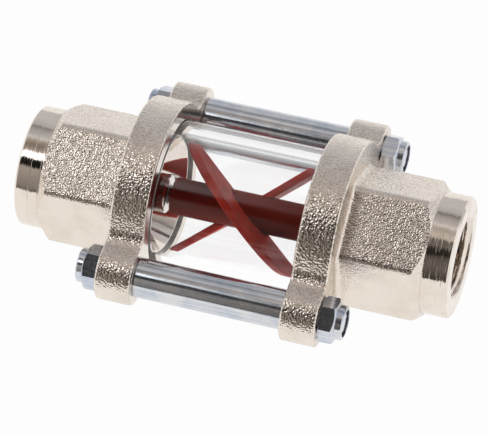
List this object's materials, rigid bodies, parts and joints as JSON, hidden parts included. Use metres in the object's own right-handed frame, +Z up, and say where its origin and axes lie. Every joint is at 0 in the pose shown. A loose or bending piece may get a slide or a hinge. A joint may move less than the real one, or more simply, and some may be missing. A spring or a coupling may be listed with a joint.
{
  "type": "impeller flow indicator",
  "caption": "In-line flow indicator: a clear tube with a free-turning slanted-blade impeller, clamped by tie rods between two cast end fittings with female threads.",
  "frame": {"origin": "middle of the sight glass on the flow axis", "axes": "+X along the flow axis towards the outlet, tie rods at -Y and +Y, +Z up when it lies on its two round flanges"},
  "size_m": [0.113, 0.0708, 0.0482],
  "materials": {
    "nickel_casting": "nickel plated, shot-blast casting with polished turned collars",
    "nickel_turned": "nickel plated, turned",
    "bush_plastic": "plain bearing plastic",
    "seal_rubber": "flat moulded seal",
    "clear_glass": "clear drawn tube",
    "red_plastic": "moulded red-brown plastic, slightly clear",
    "shaft_steel": "ground steel pin",
    "zinc_steel": "bright zinc plate, bluish",
    "nylon": "nylon ring"
  },
  "bodies": {
    "housing": {"inlet_bearing_bush": "bush_plastic", "inlet_bearing_carrier": "nickel_turned", "inlet_fitting": "nickel_casting", "inlet_seal": "seal_rubber", "lock_nut_front_inlet": "zinc_steel", "lock_nut_front_outlet": "zinc_steel", "lock_nut_rear_inlet": "zinc_steel", "lock_nut_rear_outlet": "zinc_steel", "nut_insert_front_inlet": "nylon", "nut_insert_front_outlet": "nylon", "nut_insert_rear_inlet": "nylon", "nut_insert_rear_outlet": "nylon", "outlet_bearing_bush": "bush_plastic", "outlet_bearing_carrier": "nickel_turned", "outlet_fitting": "nickel_casting", "outlet_seal": "seal_rubber", "sight_glass": "clear_glass", "tie_sleeve_front": "zinc_steel", "tie_sleeve_rear": "zinc_steel", "tie_stud_front": "zinc_steel", "tie_stud_rear": "zinc_steel"},
    "rotor": {"impeller": "red_plastic", "rotor_shaft": "shaft_steel"}
  },
  "joints": [
    {"name": "impeller_spin", "type": "hinge", "parent": "housing", "child": "rotor", "pos_m": [0, 0, 0], "axis": [1, 0, 0], "continuous": true}
  ]
}
